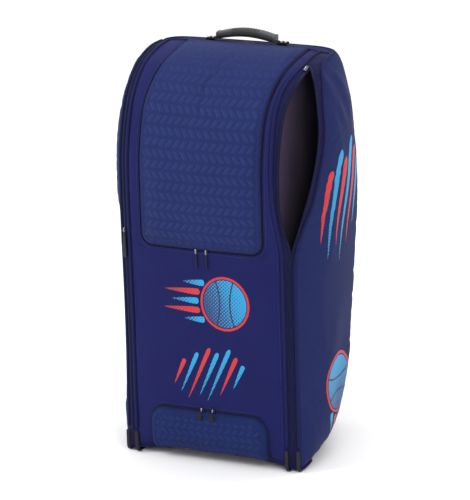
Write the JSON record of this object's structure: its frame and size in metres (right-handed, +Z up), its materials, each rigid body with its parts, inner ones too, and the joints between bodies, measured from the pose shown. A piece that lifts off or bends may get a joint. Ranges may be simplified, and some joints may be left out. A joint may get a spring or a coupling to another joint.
{
  "type": "cricket kit bag",
  "caption": "Tall upright fabric sports kit bag on wheels, with a padded front lid, a low front pocket, side pockets, one unzipped, and a ribbed carrying grip.",
  "frame": {"origin": "on the floor, under the middle of the bag's box", "axes": "+Z up, +X to the right as seen from the front, -Y out of the front lid"},
  "size_m": [0.4746, 0.3906, 0.8674],
  "materials": {
    "navy_fabric": "matte woven polyester, navy",
    "lid_fabric": "padded woven polyester, blue with a tone-on-tone pattern",
    "side_fabric": "matte woven polyester, blue navy",
    "band_fabric": "matte woven polyester, dark navy",
    "lining": "thin coated lining, dark purple brown",
    "piping_cover": "woven piping, navy",
    "zip_tape": "zip tape and coil, near black",
    "webbing": "woven webbing, near black",
    "dark_plastic": "moulded, matte",
    "grip_rubber": "ribbed, matte",
    "wheel_rubber": "matte",
    "steel": "polished"
  },
  "bodies": {
    "bag": {"front_panel": "navy_fabric", "main_lid": "lid_fabric", "lid_zip": "zip_tape", "lower_pocket": "lid_fabric", "pocket_zip": "zip_tape", "right_side_panel_lower": "side_fabric", "right_side_panel_middle": "side_fabric", "right_side_panel_upper": "side_fabric", "left_side_panel": "side_fabric", "back_panel": "navy_fabric", "left_zip_band": "band_fabric", "right_band_front": "band_fabric", "right_band_side_lower": "band_fabric", "right_band_side_middle": "band_fabric", "right_band_side_upper": "band_fabric", "left_zip": "zip_tape", "right_zip": "zip_tape", "piping_left_front": "piping_cover", "piping_left_side": "piping_cover", "piping_right_front": "piping_cover", "piping_right_side": "piping_cover", "foot_left_side": "dark_plastic", "foot_left_front": "dark_plastic", "foot_right_front": "dark_plastic", "foot_right_side": "dark_plastic", "base_panel": "navy_fabric", "top_panel": "navy_fabric", "right_pocket_divider": "lining", "lid_slider_left": "steel", "lid_pull_left": "dark_plastic", "pocket_slider_left": "steel", "pocket_pull_left": "dark_plastic", "lid_slider_right": "steel", "lid_pull_right": "dark_plastic", "pocket_slider_right": "steel", "pocket_pull_right": "dark_plastic", "left_slider": "steel", "left_pull": "dark_plastic", "right_slider": "steel", "handle_strap": "webbing", "handle_grip": "grip_rubber", "handle_anchor_left": "dark_plastic", "handle_anchor_right": "dark_plastic", "handle_rivet_left_1": "steel", "handle_rivet_left_2": "steel", "handle_rivet_right_1": "steel", "handle_rivet_right_2": "steel", "wheel_base": "dark_plastic", "wheel_axle": "steel"},
    "wheel_left": {"wheel_left": "wheel_rubber"},
    "wheel_right": {"wheel_right": "wheel_rubber"}
  },
  "joints": [
    {"name": "wheel_left_spin", "type": "hinge", "parent": "bag", "child": "wheel_left", "pos_m": [-0.12624, 0.11379, 0.038], "axis": [1, 0, 0], "continuous": true},
    {"name": "wheel_right_spin", "type": "hinge", "parent": "bag", "child": "wheel_right", "pos_m": [0.12576, 0.11379, 0.038], "axis": [1, 0, 0], "continuous": true}
  ]
}
